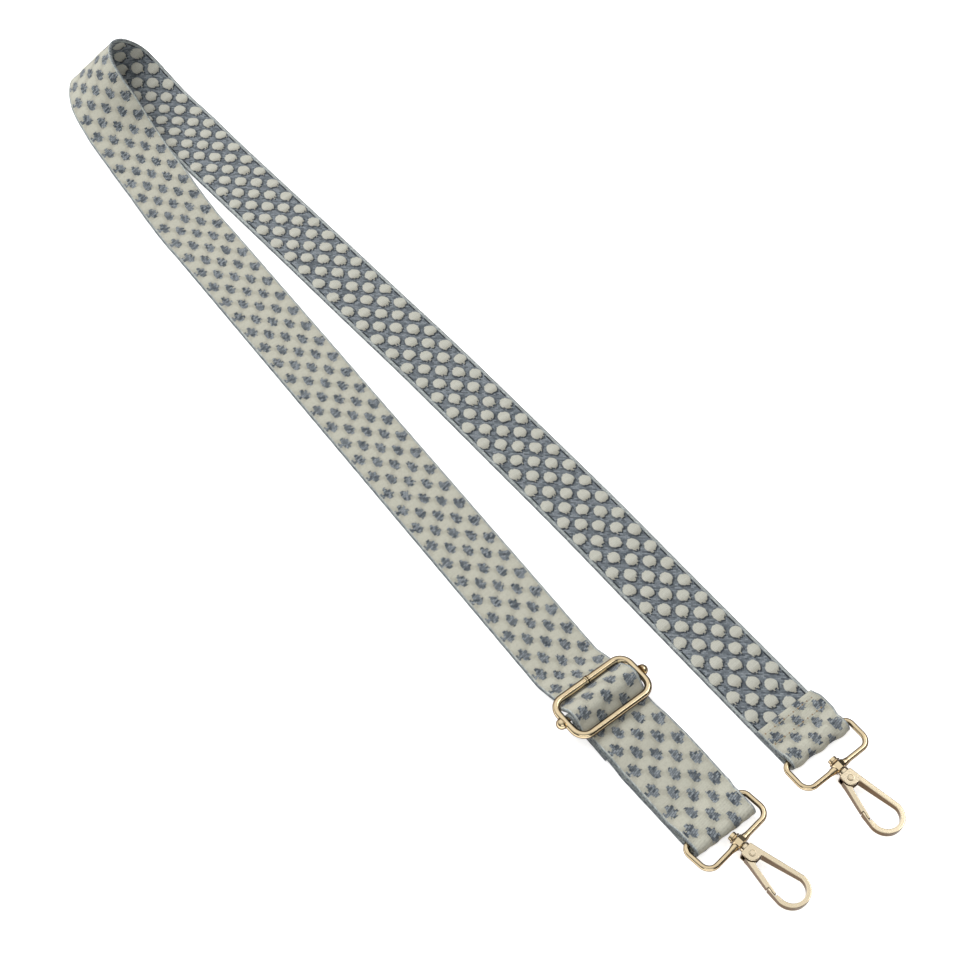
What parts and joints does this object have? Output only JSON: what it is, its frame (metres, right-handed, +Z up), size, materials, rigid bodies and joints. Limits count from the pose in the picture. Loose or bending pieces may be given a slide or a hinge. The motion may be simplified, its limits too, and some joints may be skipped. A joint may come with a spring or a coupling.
{
  "type": "detachable bag strap",
  "caption": "Detachable woven bag strap with a dotted pattern, a sliding length adjuster and a swivel snap hook at each end, lying doubled into a long loop.",
  "frame": {"origin": "on the table under the middle of the strap's bounding box", "axes": "+Y from the hooks to the far bend, +X to the side of the sewn strand, +Z up from the table"},
  "size_m": [0.1206, 0.6596, 0.0408],
  "materials": {
    "webbing": "woven, cream face with a blue-grey dot pattern, reversed on the back",
    "thread": "twisted cream thread",
    "pale_gold": "pale gold plating, polished",
    "spring_steel": "bare steel wire"
  },
  "bodies": {
    "strap": {"webbing_sewn_flap": "webbing", "webbing_right_strand": "webbing", "webbing_bend_rising": "webbing", "webbing_bend_falling": "webbing", "webbing_upper_run": "webbing", "flap_stitch_row_1": "thread", "flap_stitch_row_2": "thread"},
    "slider": {"slider_frame": "pale_gold", "slider_bar": "pale_gold", "webbing_slider_pass": "webbing", "webbing_sewn_end": "webbing", "webbing_loop_front": "webbing", "webbing_loop_back": "webbing"},
    "hook_a_carrier": {"webbing_ring_fold": "webbing"},
    "hook_a_ring": {"hook_a_ring": "pale_gold"},
    "hook_a": {"hook_a_swivel_pin": "pale_gold", "hook_a_body": "pale_gold", "hook_a_gate_rivet": "pale_gold", "hook_a_gate_spring": "spring_steel"},
    "hook_a_gate": {"hook_a_gate": "pale_gold"},
    "hook_b_ring": {"hook_b_ring": "pale_gold"},
    "hook_b": {"hook_b_swivel_pin": "pale_gold", "hook_b_body": "pale_gold", "hook_b_gate_rivet": "pale_gold", "hook_b_gate_spring": "spring_steel"},
    "hook_b_gate": {"hook_b_gate": "pale_gold"}
  },
  "joints": [
    {"name": "slider_slide", "type": "slide", "parent": "strap", "child": "slider", "axis": [0.0515, 0.9987, 0], "range_m": [-0.03, 0.06], "deforming": ["webbing_upper_run"]},
    {"name": "hook_a_follow", "type": "slide", "parent": "slider", "child": "hook_a_carrier", "axis": [0, 1, 0], "range_m": [-0.03, 0.015], "deforming": ["webbing_loop_front", "webbing_loop_back"]},
    {"name": "hook_a_ring_swing", "type": "hinge", "parent": "hook_a_carrier", "child": "hook_a_ring", "pos_m": [-0.03133, -0.26891, 0.0038], "axis": [0.9945, 0.1045, 0], "range_deg": [-110, 110]},
    {"name": "hook_a_swivel_turn", "type": "hinge", "parent": "hook_a_ring", "child": "hook_a", "pos_m": [-0.02957, -0.28561, 0.0038], "axis": [-0.1045, 0.9945, 0], "continuous": true},
    {"name": "hook_a_gate_swing", "type": "hinge", "parent": "hook_a", "child": "hook_a_gate", "pos_m": [-0.02961, -0.29386, 0.0038], "axis": [0, 0, 1], "range_deg": [0, 30], "stiffness_Nm_per_rad": 0.006, "springref_deg": -20.05},
    {"name": "hook_b_ring_swing", "type": "hinge", "parent": "strap", "child": "hook_b_ring", "pos_m": [0.03687, -0.27091, 0.0038], "axis": [0.9999, -0.0105, 0], "range_deg": [-110, 110]},
    {"name": "hook_b_swivel_turn", "type": "hinge", "parent": "hook_b_ring", "child": "hook_b", "pos_m": [0.0367, -0.2877, 0.0038], "axis": [0.0105, 0.9999, 0], "continuous": true},
    {"name": "hook_b_gate_swing", "type": "hinge", "parent": "hook_b", "child": "hook_b_gate", "pos_m": [0.03571, -0.2959, 0.0038], "axis": [0, 0, 1], "range_deg": [0, 30], "stiffness_Nm_per_rad": 0.006, "springref_deg": -20.05}
  ],
  "couplings": [
    {"joint": "hook_a_follow", "follows": "slider_slide", "ratio": -0.5}
  ]
}
